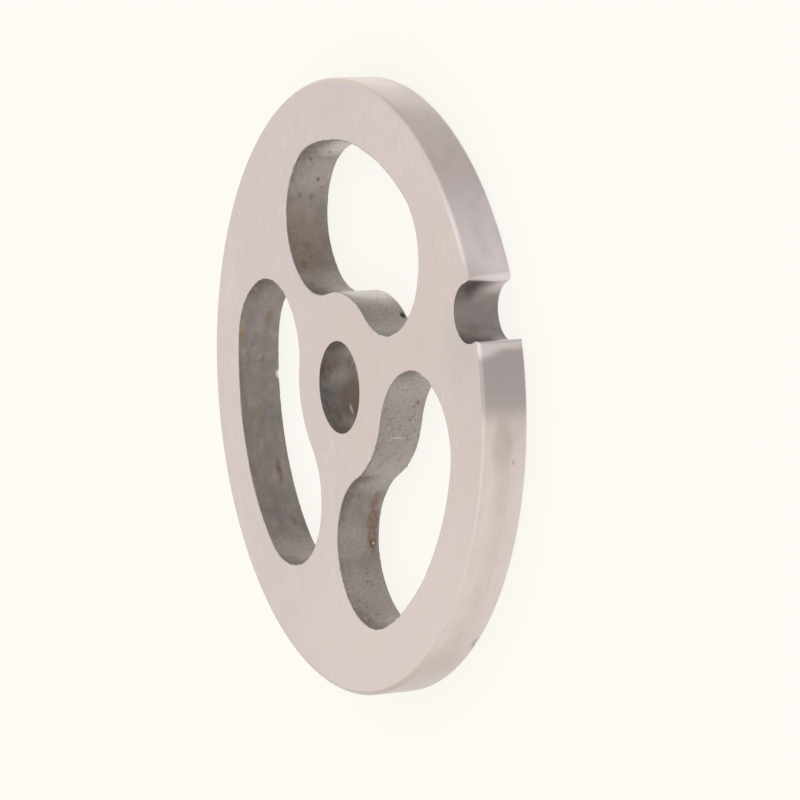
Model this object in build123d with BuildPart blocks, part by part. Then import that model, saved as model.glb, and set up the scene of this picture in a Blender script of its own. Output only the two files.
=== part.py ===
from build123d import *

import math
import os

# Kidney plate of a meat grinder, lying on its back face.
#
# The plate is one iron casting. Its two faces are ground flat, its rim is turned and its bore is
# reamed, while the walls of the kidney slots stay as cast. The stud of the feed screw turns in the
# bore, the knife sweeps one face, and a key in the grinder's housing stands in the rim notch and
# keeps the plate from turning.
#
# Frame: the origin is on the bore's axis, in the plane of the back face. +Z runs along the bore to
# the face that the knife sweeps, and +X runs through the middle of the rim notch.

# Disc, in millimetres
plate_diameter = 62.0
plate_thickness = 4.7
rim_edge_break = 0.4

# Bore for the stud of the feed screw
bore_diameter = 9.3

# Kidney slots: the metal that is left round them sets their shape
slot_count = 3
hub_wall = 4.95
rim_width = 6.2
web_width = 4.1

# Notch for the key of the housing, on the web between two slots
notch_width = 5.7
notch_depth = 4.2
notch_mouth_radius = 0.5

# A slot is a band of one width, bent round the bore, with half-round ends
plate_radius = plate_diameter / 2
bore_radius = bore_diameter / 2
slot_inner_radius = bore_radius + hub_wall
slot_outer_radius = plate_radius - rim_width
slot_width = slot_outer_radius - slot_inner_radius
slot_middle_radius = (slot_inner_radius + slot_outer_radius) / 2

# The half-round ends of two neighbouring slots stand a web apart, so the middle of each end lies
# half a web and half a slot's width to the side of the web's centre line
slot_spacing = 360 / slot_count
end_offset = (web_width + slot_width) / 2
slot_sweep = slot_spacing - 2 * math.degrees(math.asin(end_offset / slot_middle_radius))

# The notch is a U: a half-round root, and straight flanks out through the rim
notch_root_radius = notch_width / 2
notch_root_centre = plate_radius - notch_depth + notch_root_radius

os.makedirs("parts", exist_ok=True)

with BuildPart() as kidney_plate:
    with BuildSketch():
        Circle(plate_radius)
        Circle(bore_radius, mode=Mode.SUBTRACT)

        with BuildLine(mode=Mode.PRIVATE) as slot_middle:
            CenterArc((0, 0), slot_middle_radius, -slot_sweep / 2, slot_sweep)
        with PolarLocations(0, slot_count, start_angle=slot_spacing / 2):
            SlotArc(slot_middle.edge(), slot_width, mode=Mode.SUBTRACT)
    extrude(amount=plate_thickness)

    # The rim's edges are broken; those of the slots and the bore stay sharp, for the knife
    ground_faces = kidney_plate.faces().filter_by(Axis.Z)
    chamfer([face.outer_wire().edge() for face in ground_faces], length=rim_edge_break)

    # The notch is cut after the rim's edges are broken, so its own edges on the faces stay sharp
    with BuildSketch():
        with Locations((notch_root_centre, 0)):
            Circle(notch_root_radius)
            Rectangle(notch_depth, notch_width, align=(Align.MIN, Align.CENTER))
    extrude(amount=plate_thickness, mode=Mode.SUBTRACT)

    # The key slides in past rounded corners
    mouth_corners = kidney_plate.edges().filter_by(Axis.Z).group_by(Axis.X)[-1]
    fillet(mouth_corners, radius=notch_mouth_radius)

kidney_plate.part.label = "kidney_plate"
export_step(kidney_plate.part, "parts/kidney_plate.step")
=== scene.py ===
import math

import bpy
from mathutils import Matrix, Vector, geometry, noise


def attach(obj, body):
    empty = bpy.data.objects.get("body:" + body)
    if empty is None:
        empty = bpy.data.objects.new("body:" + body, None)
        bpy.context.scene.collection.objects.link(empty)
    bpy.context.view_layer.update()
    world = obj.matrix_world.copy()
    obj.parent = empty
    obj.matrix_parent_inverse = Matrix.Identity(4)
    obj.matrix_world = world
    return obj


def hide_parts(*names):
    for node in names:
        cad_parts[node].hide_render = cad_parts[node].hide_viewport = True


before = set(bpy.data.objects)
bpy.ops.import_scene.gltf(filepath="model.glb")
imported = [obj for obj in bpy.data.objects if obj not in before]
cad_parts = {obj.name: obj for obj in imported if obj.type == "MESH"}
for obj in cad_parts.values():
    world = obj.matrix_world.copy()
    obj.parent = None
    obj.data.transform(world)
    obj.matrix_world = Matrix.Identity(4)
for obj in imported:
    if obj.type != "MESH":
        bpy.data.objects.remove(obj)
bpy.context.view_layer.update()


# ---------------------------------------------------------------------------------------------
# Camera
# A long lens looks across the plate from the side of the key notch, low over the ground face.
# The camera lies on its side, so that the plate's axis runs to the left of the view.
# ---------------------------------------------------------------------------------------------

# The frame is in metres and the maker's drawing in millimetres, so 4.7 mm is written 4.7 * mm
mm = 0.001

aim_point = Vector((12.98, -4.35, 4.7)) * mm
camera_distance = 338.5 * mm
camera_azimuth = math.radians(-11.46)
camera_elevation = math.radians(26.26)
camera_roll = math.radians(-94.02)
camera_lens = 157.16

towards_camera = Vector(
    (
        math.cos(camera_elevation) * math.cos(camera_azimuth),
        math.cos(camera_elevation) * math.sin(camera_azimuth),
        math.sin(camera_elevation),
    )
)
camera_data = bpy.data.cameras.new("camera")
camera_data.sensor_width = 36.0
camera_data.lens = camera_lens
camera_data.clip_start = 10 * mm
camera = bpy.data.objects.new("camera", camera_data)
bpy.context.scene.collection.objects.link(camera)
level = towards_camera.to_track_quat("Z", "Y").to_matrix().to_4x4()
camera.matrix_world = (
    Matrix.Translation(aim_point + towards_camera * camera_distance)
    @ level
    @ Matrix.Rotation(camera_roll, 4, "Z")
)
bpy.context.scene.camera = camera


# ---------------------------------------------------------------------------------------------
# Plate casting
# One disc of grey iron. Sand leaves its skin on the walls of the three kidney slots; the rim is
# then turned, the bore reamed, the key notch milled, and both faces are ground flat last.
# ---------------------------------------------------------------------------------------------
plate_radius = 31.0 * mm
plate_thickness = 4.7 * mm

# What the mesh is gathered in: points, four-sided wall panels, three-sided face panels
points = []
panels = []
finishes = []


def along_arc(centre, radius, start, sweep, step):
    """Points along an arc, with metal to the left of the way taken, each with the direction that
    leaves the metal there. Angles are in degrees; a sweep below zero turns right, as in a hole."""
    count = max(2, round(abs(math.radians(sweep)) * radius / step))
    side = math.copysign(1, sweep)
    path = []
    for i in range(count):
        turn = math.radians(start + sweep * i / count)
        spoke = Vector((math.cos(turn), math.sin(turn)))
        path.append((Vector(centre) + spoke * radius, spoke * side))
    return path


def heights_up(edge_round, round_rows, flat_rows):
    """Heights of a wall's rows: close together in its two rounded edges, even between them."""
    low = [edge_round * (1 - math.cos(math.pi / 2 * i / round_rows)) for i in range(round_rows)]
    rise = plate_thickness - 2 * edge_round
    flat = [edge_round + rise * i / flat_rows for i in range(flat_rows + 1)]
    return low + flat + [plate_thickness - height for height in reversed(low)]


def worn_back(height, edge_round):
    """How far a rounded edge has drawn back from its wall at a height."""
    into = max(0.0, edge_round - min(height, plate_thickness - height))
    return edge_round - math.sqrt(max(0.0, edge_round**2 - into**2))


def raise_wall(outline, heights, finish_of):
    """Puts up a closed wall, row by row, from the back face to the knife face. outline gives the
    wall's plan at a height. Returns the loops of points on the back face and the knife face."""
    first = len(points)
    for height in heights:
        row = outline(height)
        points.extend((x, y, height) for x, y in row)
    round_the_wall = len(row)
    for k in range(len(heights) - 1):
        for i in range(round_the_wall):
            here = first + k * round_the_wall + i
            there = first + k * round_the_wall + (i + 1) % round_the_wall
            panels.append((here, there, there + round_the_wall, here + round_the_wall))
            finishes.append(finish_of(i))
    low = list(range(first, first + round_the_wall))
    return low, [v + (len(heights) - 1) * round_the_wall for v in low]


ground_face, turned_rim, milled_notch, cast_wall, reamed_bore = range(5)
loops = []

# Rim: turned all round and its edges rolled over, then the key notch is milled through it and
# the notch's mouth is stoned by hand, more at one corner than at the other
rim_edge_round = 0.42 * mm
rim_step = 0.22 * mm
notch_half_width = 2.85 * mm
notch_root_centre = 29.65 * mm
notch_step = 0.11 * mm

# Corners of the notch's mouth: where they end on the rim in degrees, how many points each has and
# how many of these are milled, and their radii on the back face and on the knife face
mouth_reach = 9.0
mouth_points = 34
lower_lap, upper_lap = 4, 5
lower_mouth_radius = (0.50 * mm, 0.60 * mm)
upper_mouth_radius = (1.05 * mm, 0.49 * mm)

# Knocks in the rim: angle from the notch in degrees, height, reach and depth in millimetres
rim_knocks = (
    (-26.9, 1.4, 0.35, 0.04),
    (-67.5, 0.2, 0.60, 0.06),
    (67.8, 1.6, 0.35, 0.03),
    (118.0, 2.9, 0.40, 0.03),
    (171.0, 1.2, 0.50, 0.04),
    (226.0, 3.6, 0.45, 0.04),
)

# How far the rolled edges and the milled root wander from true
rolled_edge_wave = 0.014 * mm
cutter_wave = 0.03 * mm


def dent(spot, middle, reach, depth):
    """How deep a round dent is at a spot: deepest in its middle, and gone well past its reach."""
    far = (spot - middle).length / reach
    return depth * math.exp(-far * far * 1.5) if far < 2.5 else 0.0


def rim_wear(spot):
    """The slow wave of the rolled edge, and the knocks of use."""
    wave = noise.noise(spot * (0.20 / mm)) * 0.5 + 0.5
    drawn_in = rolled_edge_wave * wave
    for angle, height, reach, depth in rim_knocks:
        turn = math.radians(angle)
        knock = Vector((math.cos(turn) * plate_radius, math.sin(turn) * plate_radius, height * mm))
        drawn_in += dent(spot, knock, reach * mm, depth * mm)
    return drawn_in


def mouth_corner(corner_radius):
    """Plan of the notch's upper corner, evenly spaced from the root's end out on to the rim."""
    centre_y = notch_half_width + corner_radius
    centre_x = math.sqrt((plate_radius - corner_radius) ** 2 - centre_y**2)
    meets_rim = math.degrees(math.atan2(centre_y, centre_x))
    fine = notch_step / 8
    way = [Vector((notch_root_centre, notch_half_width))]
    corner = along_arc((centre_x, centre_y), corner_radius, -90, 90 + meets_rim, fine)
    rim = along_arc((0, 0), plate_radius, meets_rim, mouth_reach - meets_rim, fine)
    way += [at for at, _ in corner + rim]
    lengths = [0.0]
    for before, after in zip(way, way[1:]):
        lengths.append(lengths[-1] + (after - before).length)
    evenly = []
    leg = 0
    for i in range(mouth_points):
        along = lengths[-1] * i / mouth_points
        while lengths[leg + 1] < along:
            leg += 1
        share = (along - lengths[leg]) / (lengths[leg + 1] - lengths[leg])
        evenly.append(way[leg].lerp(way[leg + 1], share))
    return evenly


rim_path = along_arc((0, 0), plate_radius, mouth_reach, 360 - 2 * mouth_reach, rim_step)
root_path = along_arc((notch_root_centre, 0), notch_half_width, 270, -180, notch_step)
mouth_end = Vector((math.cos(math.radians(mouth_reach)), math.sin(math.radians(mouth_reach))))


def rim_outline(height):
    """Plan of the rim and its notch: the turned disc, less what the notch takes out of it."""
    up = height / plate_thickness
    at_back, at_face = lower_mouth_radius
    corner = mouth_corner(at_back + (at_face - at_back) * up)[1:] + [mouth_end * plate_radius]
    plan = [at for at, _ in rim_path]
    plan += [Vector((at.x, -at.y)) for at in reversed(corner)]
    for at, leaving in root_path:
        tool_mark = noise.noise(Vector((at.x, at.y, height)) * (0.8 / mm))
        plan.append(at + leaving * (tool_mark * cutter_wave))
    at_back, at_face = upper_mouth_radius
    plan += mouth_corner(at_back + (at_face - at_back) * up)
    turned_down = plate_radius - worn_back(height, rim_edge_round)
    outline = []
    for at in plan:
        limit = turned_down - rim_wear(Vector((at.x, at.y, height)))
        outline.append(at * min(1.0, limit / at.length))
    return outline


notch_begins = len(rim_path) + mouth_points - lower_lap
notch_ends = len(rim_path) + mouth_points + len(root_path) + upper_lap


def rim_finish(i):
    """The notch's finish, which laps a few points on to its mouth's corners; else the rim's."""
    return milled_notch if notch_begins <= i < notch_ends else turned_rim


rim_heights = heights_up(rim_edge_round, round_rows=6, flat_rows=14)
loops.append(raise_wall(rim_outline, rim_heights, rim_finish))

# Kidney slots: bands of one width bent round the bore, with half-round ends, left as cast
slot_inner_radius = 9.6 * mm
slot_outer_radius = 24.8 * mm
slot_half_width = (slot_outer_radius - slot_inner_radius) / 2
slot_middle_radius = (slot_inner_radius + slot_outer_radius) / 2
slot_half_sweep = 25.87
slot_step = 0.15 * mm
slot_edge_round = 0.09 * mm
slot_heights = heights_up(slot_edge_round, round_rows=2, flat_rows=30)

# Holes, chips and one fin in the walls: place in millimetres, then reach and depth
wall_holes = (
    (8.1, 5.2, 0.40, 0.28, 0.26),
    (-23.9, 6.9, 0.10, 0.62, 0.24),
    (2.9, -9.1, 0.05, 0.30, -0.14),
    (-3.9, 22.8, 1.5, 0.16, 0.06),
    (-0.2, 24.6, 1.5, 0.18, 0.06),
)

# How deep the sand's own marks are
swell_depth = 0.10 * mm
lump_depth = 0.030 * mm
grain_depth = 0.010 * mm
lost_grain_depth = 0.16 * mm


def sand_relief(spot):
    """Skin left by the sand: slow swells, grains, and pits where grains have dropped out."""
    swell = noise.noise(spot * (0.22 / mm)) * swell_depth
    lumps = noise.noise(spot * (0.9 / mm) + Vector((7, 3, 1))) * lump_depth
    grains = noise.fractal(spot * (2.6 / mm), 0.8, 2.1, 3) * grain_depth
    gap = noise.noise(spot * (1.7 / mm) + Vector((2, 9, 4)))
    relief = swell + lumps + grains - max(0.0, gap - 0.42) * lost_grain_depth
    for x, y, z, reach, depth in wall_holes:
        relief -= dent(spot, Vector((x, y, z)) * mm, reach * mm, depth * mm)
    return relief


def slot_outline(height):
    """Plan of one slot at a height, as the sand and the grinding of the faces have left it."""
    outline = []
    for at, leaving in slot_path:
        spot = Vector((at.x, at.y, height))
        chipped = 1 + 1.2 * noise.noise(spot * (2.3 / mm) + Vector((5, 5, 8)))
        out = sand_relief(spot) - worn_back(height, slot_edge_round) * chipped
        outline.append(at + leaving * out)
    return outline


# The slots stand evenly round the bore, in degrees from the notch, with webs between them
for middle in (60, 180, 300):
    ends = []
    for side in (-1, 1):
        turn = math.radians(middle + side * slot_half_sweep)
        ends.append(Vector((math.cos(turn), math.sin(turn))) * slot_middle_radius)
    right, left = middle - slot_half_sweep, middle + slot_half_sweep
    slot_path = along_arc((0, 0), slot_outer_radius, left, right - left, slot_step)
    slot_path += along_arc(ends[0], slot_half_width, right, -180, slot_step)
    slot_path += along_arc((0, 0), slot_inner_radius, right, left - right, slot_step)
    slot_path += along_arc(ends[1], slot_half_width, left + 180, -180, slot_step)
    loops.append(raise_wall(slot_outline, slot_heights, lambda i: cast_wall))

# Bore: reamed, which leaves fine rings, with its edges only just taken off
bore_radius = 4.65 * mm
bore_step = 0.15 * mm
bore_edge_round = 0.04 * mm
bore_ring_depth = 0.008 * mm
bore_heights = heights_up(bore_edge_round, round_rows=2, flat_rows=26)
bore_path = along_arc((0, 0), bore_radius, 0, -360, bore_step)


def bore_outline(height):
    """Plan of the bore at a height, with the rings that the reamer's teeth have left."""
    outline = []
    for at, leaving in bore_path:
        ring = noise.noise(Vector((at.x * 120, at.y * 120, height / mm * 3.2)))
        out = bore_ring_depth * ring - worn_back(height, bore_edge_round)
        outline.append(at + leaving * out)
    return outline


loops.append(raise_wall(bore_outline, bore_heights, lambda i: reamed_bore))


def opens_through(loop, spot):
    """Whether a spot on a ground face lies in the opening that a loop goes round."""
    within = False
    for v, w in zip(loop, loop[1:] + loop[:1]):
        (x, y, _), (next_x, next_y, _) = points[v], points[w]
        if (y > spot.y) != (next_y > spot.y):
            if spot.x < x + (next_x - x) * (spot.y - y) / (next_y - y):
                within = not within
    return within


# The faces are filled with triangles, and points nearer than same_spot count as one
as_triangles = 2
same_spot = 1e-9


def fill_face(face_loops, flip):
    """Closes one ground face between the rim's loop and the loops of the openings."""
    flat, edges, back = [], [], []
    for number, loop in enumerate(face_loops):
        start = len(flat)
        for k, v in enumerate(loop):
            flat.append(Vector(points[v][:2]))
            edges.append((start + k, start + (k + 1) % len(loop)))
            back.append((v, number))
    filled = geometry.delaunay_2d_cdt(flat, edges, [], as_triangles, same_spot)
    _, _, triangles, origin, _, _ = filled
    for triangle in triangles:
        corners = [back[origin[v][0]] for v in triangle]
        numbers = {number for _, number in corners}
        middle = sum((Vector(points[v]) for v, _ in corners), Vector()) / 3
        if len(numbers) == 1 and numbers != {0}:
            if opens_through(face_loops[numbers.pop()], middle):
                continue
        panel = [v for v, _ in corners]
        panels.append(panel[::-1] if flip else panel)
        finishes.append(ground_face)


fill_face([low for low, high in loops], flip=True)
fill_face([high for low, high in loops], flip=False)

plate_mesh = bpy.data.meshes.new("plate_casting")
plate_mesh.from_pydata(points, [], panels)
plate_mesh.polygons.foreach_set("material_index", finishes)
plate_mesh.polygons.foreach_set("use_smooth", [f != ground_face for f in finishes])
plate_mesh.update()
plate = bpy.data.objects.new("plate_casting", plate_mesh)
bpy.context.scene.collection.objects.link(plate)


def new_finish(name):
    """An empty metal finish, and the tree that it is built in."""
    finish = bpy.data.materials.new(name)
    finish.use_nodes = True
    return finish, finish.node_tree, finish.node_tree.nodes["Principled BSDF"]


def feed(tree, node, fed):
    """Feeds a node's inputs, each with a value or with another node's output."""
    for key, value in fed.items():
        if isinstance(value, bpy.types.NodeSocket):
            tree.links.new(value, node.inputs[key])
        else:
            node.inputs[key].default_value = value


def put(tree, kind, fed=None, **settings):
    """Puts a node in a finish, sets it up and feeds it."""
    made = tree.nodes.new("ShaderNode" + kind)
    for key, value in settings.items():
        setattr(made, key, value)
    feed(tree, made, fed or {})
    return made


def grain(tree, per_mm, detail=3.0, rough=0.55, shift=(0, 0, 0), turned=0.0):
    """Uneven marks, per_mm of them to the millimetre along each axis of the plate, once the
    plate has been turned about its own axis by an angle in degrees."""
    place = put(tree, "TexCoord").outputs["Object"]
    if turned:
        turn = {"Vector": place, "Angle": math.radians(turned)}
        place = put(tree, "VectorRotate", turn, rotation_type="Z_AXIS").outputs[0]
    spread = {"Vector": place, "Scale": [n / mm for n in per_mm], "Location": shift}
    place = put(tree, "Mapping", spread).outputs[0]
    marks = {"Vector": place, "Scale": 1.0, "Detail": detail, "Roughness": rough}
    return put(tree, "TexNoise", marks).outputs["Fac"]


def between(tree, marks, low, high, to_low, to_high, way="LINEAR"):
    """Turns marks that run from low to high into a value from to_low to to_high."""
    fed = {"Value": marks, "From Min": low, "From Max": high, "To Min": to_low, "To Max": to_high}
    return put(tree, "MapRange", fed, interpolation_type=way).outputs[0]


def tint(tree, share, first, second):
    """One colour going over to another by a share; a colour may be another node's output."""
    fed = {0: share, 6: first, 7: second}
    for socket in (6, 7):
        if isinstance(fed[socket], tuple):
            fed[socket] = (*fed[socket], 1.0)
    return put(tree, "Mix", fed, data_type="RGBA").outputs[2]


def emboss(tree, marks, depth, under=None):
    """Marks raised by depth, over the relief that is under them."""
    fed = {"Height": marks, "Distance": depth, "Strength": 1.0}
    if under is not None:
        fed["Normal"] = under
    return put(tree, "Bump", fed).outputs[0]


def patch(tree, x, y, z, reach_x, reach_y, reach_z, soft, strength):
    """A mark on the metal: its middle and its reach along each axis in millimetres, how much of
    the reach is soft edge, and its share in the middle."""
    place = put(tree, "TexCoord").outputs["Object"]
    reach = Vector((reach_x, reach_y, reach_z)) * mm
    middle = Vector((x, y, z)) * mm
    shrink = {
        "Vector": place,
        "Scale": [1 / r for r in reach],
        "Location": [-m / r for m, r in zip(middle, reach)],
    }
    shrunk = put(tree, "Mapping", shrink).outputs[0]
    far = put(tree, "VectorMath", {0: shrunk}, operation="LENGTH").outputs["Value"]
    return between(tree, far, 1.0 + soft / 2, 1.0 - soft / 2, 0.0, strength, way="SMOOTHSTEP")


def patches(tree, *marks):
    """Several marks on the metal as one, each given as for patch. The strongest one shows."""
    most = patch(tree, *marks[0])
    for mark in marks[1:]:
        fed = {0: most, 1: patch(tree, *mark)}
        most = put(tree, "Math", fed, operation="MAXIMUM").outputs[0]
    return most


def times(tree, share, other):
    """One share taken of another."""
    return put(tree, "Math", {0: share, 1: other}, operation="MULTIPLY").outputs[0]


# Ground faces: the wheel's short lines run one way across the plate, over a soft mottle of the
# iron that goes from cooler grey to warmer
finish, tree, steel = new_finish("ground_face")
wheel_angle = 20.5
lines = grain(tree, (1.1, 0.22, 1.0), detail=4.0, rough=0.6, turned=wheel_angle)
short_lines = grain(tree, (2.6, 0.70, 1.0), detail=2.0, shift=(6, 6, 2), turned=wheel_angle)
ground_hard = grain(tree, (0.14, 0.09, 0.1), detail=2.0, shift=(3, 5, 5), turned=wheel_angle)
mottle = grain(tree, (0.55, 0.34, 0.1), detail=3.0, shift=(0, 8, 2), turned=wheel_angle)
blush = grain(tree, (0.30, 0.20, 0.1), detail=2.0, shift=(4, 3, 9), turned=wheel_angle)
share = between(tree, lines, 0.30, 0.70, 0.0, 1.0)
tone = tint(tree, share, (0.580, 0.507, 0.482), (0.612, 0.537, 0.512))
tone = tint(tree, between(tree, mottle, 0.35, 0.65, 0.0, 0.5), tone, (0.628, 0.543, 0.507))
tone = tint(tree, between(tree, blush, 0.42, 0.60, 0.0, 0.6), tone, (0.578, 0.508, 0.502))
far_side = patch(tree, -4.0, 31.0, 4.7, 22.0, 19.0, 9.0, 0.9, 0.75)
tone = tint(tree, far_side, tone, (0.568, 0.492, 0.492))
notch_side = patch(tree, 15.0, -3.0, 4.7, 25.0, 20.0, 9.0, 0.9, 0.65)
tone = tint(tree, notch_side, tone, (0.586, 0.503, 0.468))
near_side = patch(tree, 6.0, -29.0, 4.7, 24.0, 15.0, 9.0, 1.0, 0.65)
tone = tint(tree, near_side, tone, (0.645, 0.563, 0.528))
notch_web = patch(tree, 27.0, -3.2, 4.7, 3.4, 3.4, 9.0, 1.0, 0.60)
tone = tint(tree, notch_web, tone, (0.510, 0.470, 0.446))
scored = times(
    tree,
    between(tree, short_lines, 0.52, 0.68, 0.0, 0.75),
    between(tree, ground_hard, 0.40, 0.62, 0.15, 1.0),
)
tone = tint(tree, scored, tone, (0.655, 0.578, 0.558))
rough = between(tree, lines, 0.3, 0.7, 0.40, 0.47)
relief = emboss(tree, lines, 0.0025 * mm)
relief = emboss(tree, short_lines, 0.0010 * mm, relief)
feed(tree, steel, {"Base Color": tone, "Metallic": 1.0, "Roughness": rough, "Normal": relief})
plate_mesh.materials.append(finish)

# Turned rim: close rings from the lathe, under soft clouds of warmer and cooler grey. Over these
# lie
# painted reflections: a dark band and highlights by the notch and a warm top, and painted shade at
# the bottom
finish, tree, steel = new_finish("turned_rim")
rings = grain(tree, (0.05, 0.05, 1.5), detail=2.0, rough=0.6)
hair_rings = grain(tree, (0.10, 0.10, 5.0), detail=1.0, shift=(0, 0, 4))
clouds = grain(tree, (0.20, 0.20, 0.30), detail=3.0, shift=(3, 0, 6))
smears = grain(tree, (0.38, 0.38, 0.60), detail=3.0, shift=(8, 5, 1))
share = between(tree, rings, 0.32, 0.68, 0.0, 1.0)
tone = tint(tree, share, (0.515, 0.445, 0.410), (0.585, 0.508, 0.470))
tone = tint(tree, between(tree, clouds, 0.40, 0.60, 0.0, 0.75), tone, (0.545, 0.482, 0.458))
tone = tint(tree, between(tree, smears, 0.46, 0.66, 0.0, 0.7), tone, (0.480, 0.415, 0.380))
tone = tint(tree, between(tree, hair_rings, 0.50, 0.75, 0.0, 0.25), tone, (0.630, 0.555, 0.515))
# A painted warm reflection on the top of the rim, a little lighter
painted_warm_top = patch(tree, 10.0, 30.0, 2.3, 9.0, 9.0, 9.0, 0.8, 0.85)
tone = tint(tree, painted_warm_top, tone, (0.600, 0.500, 0.450))
# A painted reflection on the rim above the notch, lighter and cooler
painted_cool_band = patch(tree, 29.3, 8.2, 2.3, 6.6, 6.6, 9.0, 0.9, 0.90)
tone = tint(tree, painted_cool_band, tone, (0.598, 0.528, 0.526))
# Painted shade at the bottom of the rim, darker and warmer
painted_low_shade = patch(tree, 2.0, -30.8, 2.3, 9.0, 5.0, 9.0, 0.9, 0.80)
tone = tint(tree, painted_low_shade, tone, (0.525, 0.438, 0.400))
# Lighter along both edges of one stretch of the rim, and over the full height of another
lighter_rim_patches = patches(
    tree,
    (24.0, -19.5, 4.7, 16.0, 18.0, 1.9, 1.0, 0.50),
    (22.0, -21.5, 0.4, 18.0, 16.0, 1.4, 1.0, 0.45),
    (23.0, 20.8, 2.4, 7.0, 7.0, 9.0, 1.0, 0.30),
)
tone = tint(tree, lighter_rim_patches, tone, (0.655, 0.580, 0.548))
# A painted dark reflection band on the rim beside the notch
painted_dark_band = patches(
    tree,
    (30.4, -6.1, 2.2, 2.2, 2.2, 9.0, 0.22, 0.85),
    (30.0, -7.1, 2.2, 2.8, 2.8, 9.0, 0.9, 0.8),
    (30.4, 3.5, 3.8, 1.3, 1.0, 2.6, 1.0, 0.40),
)
tone = tint(tree, painted_dark_band, tone, (0.375, 0.330, 0.326))
# Painted highlights on the rim by the notch, on its edges and above its mouth
painted_rim_highlights = patches(
    tree,
    (30.8, -3.2, 4.9, 1.3, 1.35, 2.4, 0.7, 0.9),
    (30.7, -2.9, 2.0, 1.0, 0.85, 3.5, 0.6, 0.7),
    (30.3, 3.9, 0.8, 1.9, 1.5, 3.2, 0.9, 0.6),
    (29.3, 10.3, 0.6, 1.4, 1.2, 0.55, 1.2, 0.6),
    (29.9, 8.0, 1.2, 2.6, 2.6, 0.90, 1.2, 0.7),
    (29.9, 8.0, 3.9, 3.0, 3.2, 1.20, 1.2, 0.7),
    (30.4, 6.0, 0.3, 1.4, 1.6, 0.80, 1.0, 0.5),
    (30.5, 5.6, 0.8, 1.3, 1.3, 0.90, 1.0, 0.5),
)
tone = tint(tree, painted_rim_highlights, tone, (0.680, 0.620, 0.615))
# A mottled painted highlight on the rim above the notch
highlight_mottle = grain(tree, (0.62, 0.62, 0.50), detail=3.0, shift=(5, 2, 7))
mottled_rim_highlight = times(
    tree,
    patch(tree, 29.9, 8.0, 1.5, 3.4, 3.6, 2.4, 1.1, 0.90),
    between(tree, highlight_mottle, 0.42, 0.60, 0.15, 1.0),
)
tone = tint(tree, mottled_rim_highlight, tone, (0.700, 0.642, 0.632))
smudges = patches(
    tree,
    (28.3, -12.6, 2.7, 1.6, 2.2, 1.0, 1.0, 0.25),
    (27.65, -14.0, 1.42, 0.40, 0.28, 0.13, 1.0, 0.50),
    (11.7, 28.7, 1.65, 0.25, 0.25, 0.20, 1.0, 0.45),
    (12.1, -28.5, 0.3, 0.9, 0.6, 0.50, 0.8, 0.55),
)
tone = tint(tree, smudges, tone, (0.300, 0.255, 0.230))
rough = between(tree, clouds, 0.3, 0.7, 0.26, 0.34)
relief = emboss(tree, rings, 0.005 * mm)
relief = emboss(tree, hair_rings, 0.0010 * mm, relief)
feed(tree, steel, {"Base Color": tone, "Metallic": 1.0, "Roughness": rough, "Normal": relief})
plate_mesh.materials.append(finish)

# Milled notch: the cutter's marks run through it from face to face. Painted shade makes it darkest
# in its upper corner, and painted light makes it lighter on its flank and towards the back
finish, tree, steel = new_finish("milled_notch")
cutter_marks = grain(tree, (1.8, 1.8, 0.3), detail=3.0)
skin = grain(tree, (0.8, 0.8, 0.7), detail=5.0, rough=0.6, shift=(1, 4, 0))
share = between(tree, skin, 0.35, 0.65, 0.0, 1.0)
tone = tint(tree, share, (0.215, 0.187, 0.178), (0.338, 0.298, 0.285))
# Painted shade in the notch's upper corner
painted_deep_shade = patch(tree, 27.0, 1.0, 2.4, 1.6, 2.0, 4.5, 0.9, 0.62)
tone = tint(tree, painted_deep_shade, tone, (0.200, 0.175, 0.168))
# Painted light on the notch's flank, and on its back and lower corner
painted_flank_light = patch(tree, 29.2, 2.8, 3.4, 2.4, 1.5, 3.0, 0.9, 0.60)
tone = tint(tree, painted_flank_light, tone, (0.430, 0.380, 0.368))
painted_corner_shade = patch(tree, 28.6, 2.6, 3.3, 1.6, 1.0, 0.7, 1.1, 0.45)
tone = tint(tree, painted_corner_shade, tone, (0.140, 0.116, 0.112))
painted_notch_light = patches(
    tree,
    (30.0, 2.9, 0.7, 1.9, 1.3, 1.9, 1.1, 0.90),
    (29.4, -2.8, 1.2, 2.2, 1.5, 2.8, 1.0, 0.38),
    (27.5, -2.2, 3.4, 1.6, 1.2, 2.4, 1.0, 0.26),
)
tone = tint(tree, painted_notch_light, tone, (0.560, 0.502, 0.490))
rough = between(tree, skin, 0.3, 0.7, 0.34, 0.48)
relief = emboss(tree, cutter_marks, 0.004 * mm)
relief = emboss(tree, skin, 0.010 * mm, relief)
feed(tree, steel, {"Base Color": tone, "Metallic": 0.9, "Roughness": rough, "Normal": relief})
plate_mesh.materials.append(finish)

# Cast walls: dark sand skin with specks where grains have dropped out, and rust where water has
# stood in the slots
finish, tree, steel = new_finish("cast_wall")
skin = grain(tree, (0.55, 0.55, 0.55), detail=5.0, rough=0.62)
sand = grain(tree, (3.6, 3.6, 3.6), detail=3.0, rough=0.65, shift=(4, 4, 4))
streaks = grain(tree, (0.40, 0.40, 1.50), detail=3.0, shift=(9, 2, 5))
share = between(tree, skin, 0.32, 0.68, 0.0, 1.0)
tone = tint(tree, share, (0.205, 0.178, 0.165), (0.300, 0.262, 0.245))
tone = tint(tree, between(tree, streaks, 0.42, 0.66, 0.0, 0.5), tone, (0.200, 0.178, 0.172))
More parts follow.
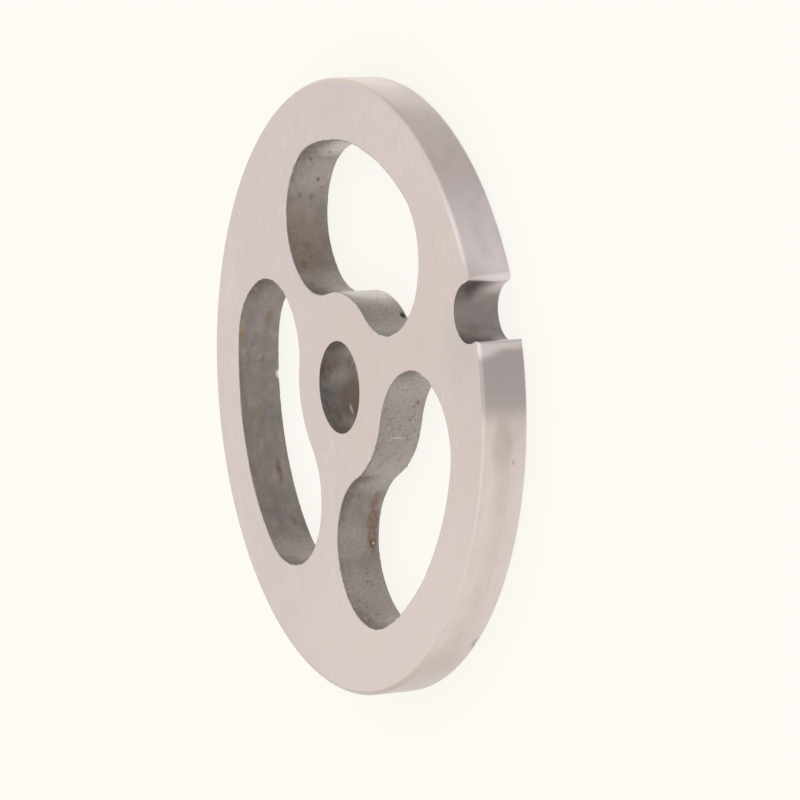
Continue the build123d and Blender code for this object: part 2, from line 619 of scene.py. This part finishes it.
# Painted light on the walls round the hub and on stretches of the slots' ends and sides
painted_wall_light = patches(
    tree,
    (0.0, 0.0, 2.3, 10.6, 10.6, 99.0, 0.12, 0.62),
    (11.8, -2.6, 2.3, 3.0, 2.4, 9.0, 0.6, 0.68),
    (1.6, 24.6, 1.4, 2.6, 2.6, 5.0, 0.9, 0.95),
    (-2.8, 23.0, 3.0, 2.4, 2.2, 5.0, 0.9, 0.45),
    (-4.0, 11.7, 2.3, 2.4, 2.2, 9.0, 0.9, 0.65),
    (-6.1, -15.1, 3.5, 2.2, 1.8, 2.2, 1.0, 0.40),
    (-3.6, -22.4, 2.3, 5.0, 5.0, 9.0, 0.9, 0.80),
    (-19.4, -13.6, 2.3, 3.6, 3.2, 9.0, 0.9, 0.70),
)
tone = tint(tree, painted_wall_light, tone, (0.410, 0.362, 0.338))
hub_shade = patch(tree, 7.4, -6.2, 2.3, 3.6, 3.6, 9.0, 0.9, 0.42)
tone = tint(tree, hub_shade, tone, (0.270, 0.238, 0.222))
# Painted highlights on the walls by the hub and at the far end of one slot
painted_wall_highlights = patches(
    tree,
    (3.2, 9.2, 0.5, 4.4, 3.0, 4.0, 0.9, 0.9),
    (1.4, 24.8, 1.0, 1.8, 1.5, 1.8, 1.1, 0.55),
)
tone = tint(tree, painted_wall_highlights, tone, (0.640, 0.590, 0.550))

# The grit shows most where the walls have painted light
shows = between(tree, painted_wall_light, 0.0, 0.7, 0.30, 1.0)
coarse = times(tree, between(tree, sand, 0.50, 0.72, 0.0, 0.45), shows)
tone = tint(tree, coarse, tone, (0.420, 0.372, 0.346))
shaded = times(tree, between(tree, sand, 0.46, 0.30, 0.0, 0.60), shows)
tone = tint(tree, shaded, tone, (0.140, 0.118, 0.108))

# Specks keep together in clusters, and keep off the far slot; a few bare grains glint
far_slot = patch(tree, -26.0, 0.0, 2.3, 12.0, 20.0, 9.0, 0.3, 1.0)
clean_slot = between(tree, far_slot, 0.0, 1.0, 1.0, 0.12)
clusters = grain(tree, (0.40, 0.40, 0.55), detail=2.0, shift=(1, 7, 3))
speckle = grain(tree, (3.2, 3.2, 3.8), detail=1.5, shift=(2, 6, 8))
specks = times(
    tree,
    between(tree, clusters, 0.48, 0.62, 0.0, 1.0),
    between(tree, speckle, 0.58, 0.70, 0.0, 1.0),
)
specks = times(tree, specks, clean_slot)
tone = tint(tree, times(tree, specks, 0.42), tone, (0.090, 0.073, 0.064))
glint = grain(tree, (2.9, 2.9, 3.4), detail=1.0, shift=(7, 1, 5))
glint = times(tree, between(tree, glint, 0.74, 0.82, 0.0, 0.6), clean_slot)
tone = tint(tree, glint, tone, (0.680, 0.620, 0.580))

# Stains: middle, reach along x, y and z in millimetres, share of soft edge, strength
yellow_stains = (
    (-6.0, 17.2, 3.1, 2.6, 4.6, 1.6, 1.4, 0.30),
    (-6.3, 17.8, 2.7, 0.6, 0.4, 0.24, 1.0, 0.85),
    (-24.6, 2.8, 2.6, 0.7, 0.55, 0.35, 1.2, 0.70),
    (-21.1, 12.9, 1.3, 1.0, 0.7, 0.24, 1.2, 0.40),
    (-22.0, 11.4, 4.5, 1.0, 1.1, 0.34, 1.0, 0.95),
    (-16.8, 15.0, 4.2, 1.8, 1.0, 0.60, 1.2, 0.50),
)
brown_stains = (
    (-6.2, 15.9, 2.6, 2.4, 2.8, 2.20, 1.4, 0.42),
    (-6.3, 16.4, 2.9, 0.9, 1.0, 0.36, 1.0, 0.80),
    (-5.8, 14.2, 3.7, 0.8, 0.8, 0.34, 1.0, 0.80),
    (-3.4, -11.3, 1.0, 1.3, 1.3, 0.50, 0.9, 0.80),
    (-5.0, -12.9, 0.8, 1.3, 1.5, 0.60, 0.9, 1.00),
    (-6.0, -14.7, 0.8, 0.9, 1.3, 0.50, 0.9, 0.95),
    (-24.6, -3.5, 1.4, 0.8, 1.3, 0.30, 1.0, 1.00),
    (-23.0, -9.4, 1.3, 0.6, 0.6, 0.28, 0.9, 0.85),
    (-21.1, 12.4, 1.4, 1.0, 1.4, 0.36, 1.2, 0.45),
    (9.2, -4.0, 0.9, 0.3, 0.3, 0.22, 0.9, 0.70),
    (8.9, -4.3, 1.2, 0.2, 0.2, 0.20, 0.9, 0.60),
)
break_up = grain(tree, (1.5, 1.5, 2.4), detail=5.0, rough=0.65, shift=(6, 6, 1))
yellow = times(
    tree,
    patches(tree, *yellow_stains),
    between(tree, break_up, 0.35, 0.60, 0.6, 1.0),
)
tone = tint(tree, yellow, tone, (0.300, 0.222, 0.135))
brown = times(
    tree,
    patches(tree, *brown_stains),
    between(tree, break_up, 0.32, 0.56, 0.6, 1.0),
)
rust_age = between(tree, break_up, 0.38, 0.66, 0.0, 1.0)
rust_colour = tint(tree, rust_age, (0.215, 0.130, 0.086), (0.120, 0.078, 0.055))
tone = tint(tree, brown, tone, rust_colour)
# A light scratch, a bright chip, and a painted glint on one speck of the wall
bright_marks = patches(
    tree,
    (-6.1, -15.1, 0.65, 0.20, 0.13, 0.11, 0.9, 0.8),
    (6.7, -6.87, 2.53, 0.14, 0.08, 0.60, 1.4, 0.35),
    (-23.9, 6.9, 0.1, 0.60, 0.40, 0.22, 0.8, 0.8),
)
tone = tint(tree, bright_marks, tone, (0.700, 0.640, 0.600))
black_pits = patches(
    tree,
    (8.1, 5.2, 0.42, 0.50, 0.44, 0.28, 0.9, 0.95),
    (-3.9, 22.8, 1.5, 0.22, 0.20, 0.17, 0.9, 0.65),
    (-0.2, 24.6, 1.5, 0.25, 0.25, 0.18, 0.9, 0.55),
    (-5.0, 21.5, 3.3, 0.30, 0.30, 0.20, 1.0, 0.40),
    (-5.1, 21.3, 2.0, 0.30, 0.40, 0.25, 1.0, 0.35),
)
tone = tint(tree, black_pits, tone, (0.045, 0.036, 0.030))
rough = between(tree, skin, 0.3, 0.7, 0.34, 0.46)
bare = between(tree, brown, 0.0, 0.9, 0.92, 0.35)
relief = emboss(tree, skin, 0.016 * mm)
relief = emboss(tree, sand, 0.0040 * mm, relief)
dip = put(tree, "Math", {0: 0.0, 1: specks}, operation="SUBTRACT").outputs[0]
relief = emboss(tree, dip, 0.007 * mm, relief)
feed(tree, steel, {"Base Color": tone, "Metallic": bare, "Roughness": rough, "Normal": relief})
plate_mesh.materials.append(finish)

# Reamed bore: faint rings, under streaks of brown and grey oil
finish, tree, steel = new_finish("reamed_bore")
rings = grain(tree, (0.25, 0.25, 4.0), detail=3.0, rough=0.6)
streaks = grain(tree, (1.1, 1.1, 2.6), detail=4.0, rough=0.6, shift=(2, 2, 8))
hue = grain(tree, (0.30, 0.30, 0.45), detail=2.0, shift=(5, 9, 2))
share = between(tree, streaks, 0.36, 0.64, 0.0, 1.0)
tone = tint(tree, share, (0.115, 0.096, 0.088), (0.285, 0.250, 0.234))
tone = tint(tree, between(tree, rings, 0.50, 0.72, 0.0, 0.20), tone, (0.320, 0.284, 0.264))
tone = tint(tree, between(tree, hue, 0.46, 0.58, 0.0, 0.55), tone, (0.190, 0.178, 0.168))
oily = patches(
    tree,
    (-4.6, -0.1, 1.1, 2.0, 2.8, 1.4, 1.0, 0.80),
    (-3.2, 3.4, 3.8, 2.0, 1.8, 1.6, 1.1, 0.60),
)
tone = tint(tree, oily, tone, (0.160, 0.118, 0.090))
lit_ends = patches(
    tree,
    (0.0, 5.0, 4.7, 4.0, 1.9, 4.5, 1.0, 0.65),
    (-1.6, -4.6, 4.0, 4.0, 2.6, 4.5, 1.0, 0.85),
)
tone = tint(tree, lit_ends, tone, (0.420, 0.372, 0.350))
glint = patches(
    tree,
    (-4.4, -1.4, 1.55, 0.4, 0.55, 0.14, 1.2, 0.60),
    (-4.4, 2.0, 2.6, 1.2, 1.00, 1.20, 1.2, 0.15),
)
tone = tint(tree, glint, tone, (0.620, 0.560, 0.540))
rough = between(tree, streaks, 0.3, 0.7, 0.34, 0.48)
relief = emboss(tree, rings, 0.003 * mm)
relief = emboss(tree, streaks, 0.012 * mm, relief)
feed(tree, steel, {"Base Color": tone, "Metallic": 0.9, "Roughness": rough, "Normal": relief})
plate_mesh.materials.append(finish)

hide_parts("kidney_plate")
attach(plate, "root")


# ---------------------------------------------------------------------------------------------
# Floor
# A wide matt sheet of pale board, in place of a table. It is lit from below as well as from
# above, so that it stays pale under the plate, which lies flat on it without being fixed.
# ---------------------------------------------------------------------------------------------
floor_size = 4.0
floor_colour = (0.975, 0.950, 0.905)
floor_own_light = 0.88
floor_clearance = 0.01 * mm

floor_mesh = bpy.data.meshes.new("floor")
half = floor_size / 2
floor_mesh.from_pydata(
    [(-half, -half, 0), (half, -half, 0), (half, half, 0), (-half, half, 0)], [], [(0, 1, 2, 3)]
)
floor = bpy.data.objects.new("floor", floor_mesh)
bpy.context.scene.collection.objects.link(floor)
finish, tree, sheet = new_finish("floor_sheet")
floor_looks = {
    "Base Color": (*[c * (1 - floor_own_light) for c in floor_colour], 1.0),
    "Roughness": 1.0,
    "Specular IOR Level": 0.0,
    "Emission Color": (*floor_colour, 1.0),
    "Emission Strength": floor_own_light,
}
feed(tree, sheet, floor_looks)
floor_mesh.materials.append(finish)
floor.location.z = -floor_clearance

# The plate's metal mirrors the room and not the sheet
floor.visible_glossy = False


# ---------------------------------------------------------------------------------------------
# Studio light
# A white room with a bright ceiling. Grey screens stand behind the camera and to its right, and
# white ones to its left and behind the plate.
# ---------------------------------------------------------------------------------------------
room = bpy.data.worlds.new("studio")
bpy.context.scene.world = room
room.use_nodes = True
tree = room.node_tree
backdrop = tree.nodes["Background"]
gaze = put(tree, "TexCoord").outputs["Generated"]
height = put(tree, "SeparateXYZ", {0: gaze}).outputs[2]
level_gaze = put(tree, "VectorMath", {0: gaze, 1: (1, 1, 0)}, operation="MULTIPLY").outputs[0]
level_gaze = put(tree, "VectorMath", {0: level_gaze}, operation="NORMALIZE").outputs[0]

# Each screen: azimuth of its middle, half its width with and without its soft edge, all in
# degrees, how high its soft top reaches, and what it adds to the light there
soft_top = 0.35
screens = (
    (-6.0, 34.0, 10.0, 0.25, -0.08),
    (74.0, 50.0, 24.0, 0.25, -0.22),
    (-78.0, 65.0, 30.0, 0.60, 0.18),
    (142.0, 42.0, 10.0, 0.60, 0.16),
)
light = 1.0
for azimuth, outer, inner, top, change in screens:
    below_its_top = between(tree, height, top, top - soft_top, 0.0, 1.0, way="SMOOTHSTEP")
    turn = math.radians(azimuth)
    ways = {0: level_gaze, 1: (math.cos(turn), math.sin(turn), 0.0)}
    facing = put(tree, "VectorMath", ways, operation="DOT_PRODUCT").outputs["Value"]
    edge, full = math.cos(math.radians(outer)), math.cos(math.radians(inner))
    shade = between(tree, facing, edge, full, 0.0, change, way="SMOOTHSTEP")
    fed = {0: shade, 1: below_its_top, 2: light}
    light = put(tree, "Math", fed, operation="MULTIPLY_ADD").outputs[0]
light = times(tree, light, between(tree, height, 0.35, 0.95, 1.0, 1.3))
feed(tree, backdrop, {"Color": (1.0, 0.985, 0.965, 1.0), "Strength": light})

# Behind the plate the room is seen as plain as the floor; only its light on the plate varies
plain = put(tree, "Background", {"Color": (*floor_colour, 1.0), "Strength": 1.0})
seen = put(tree, "LightPath").outputs["Is Camera Ray"]
chosen = put(tree, "MixShader", {0: seen, 1: backdrop.outputs[0], 2: plain.outputs[0]})
tree.links.new(chosen.outputs[0], tree.nodes["World Output"].inputs["Surface"])

bpy.context.scene.view_settings.view_transform = "Standard"
bpy.context.scene.view_settings.look = "None"
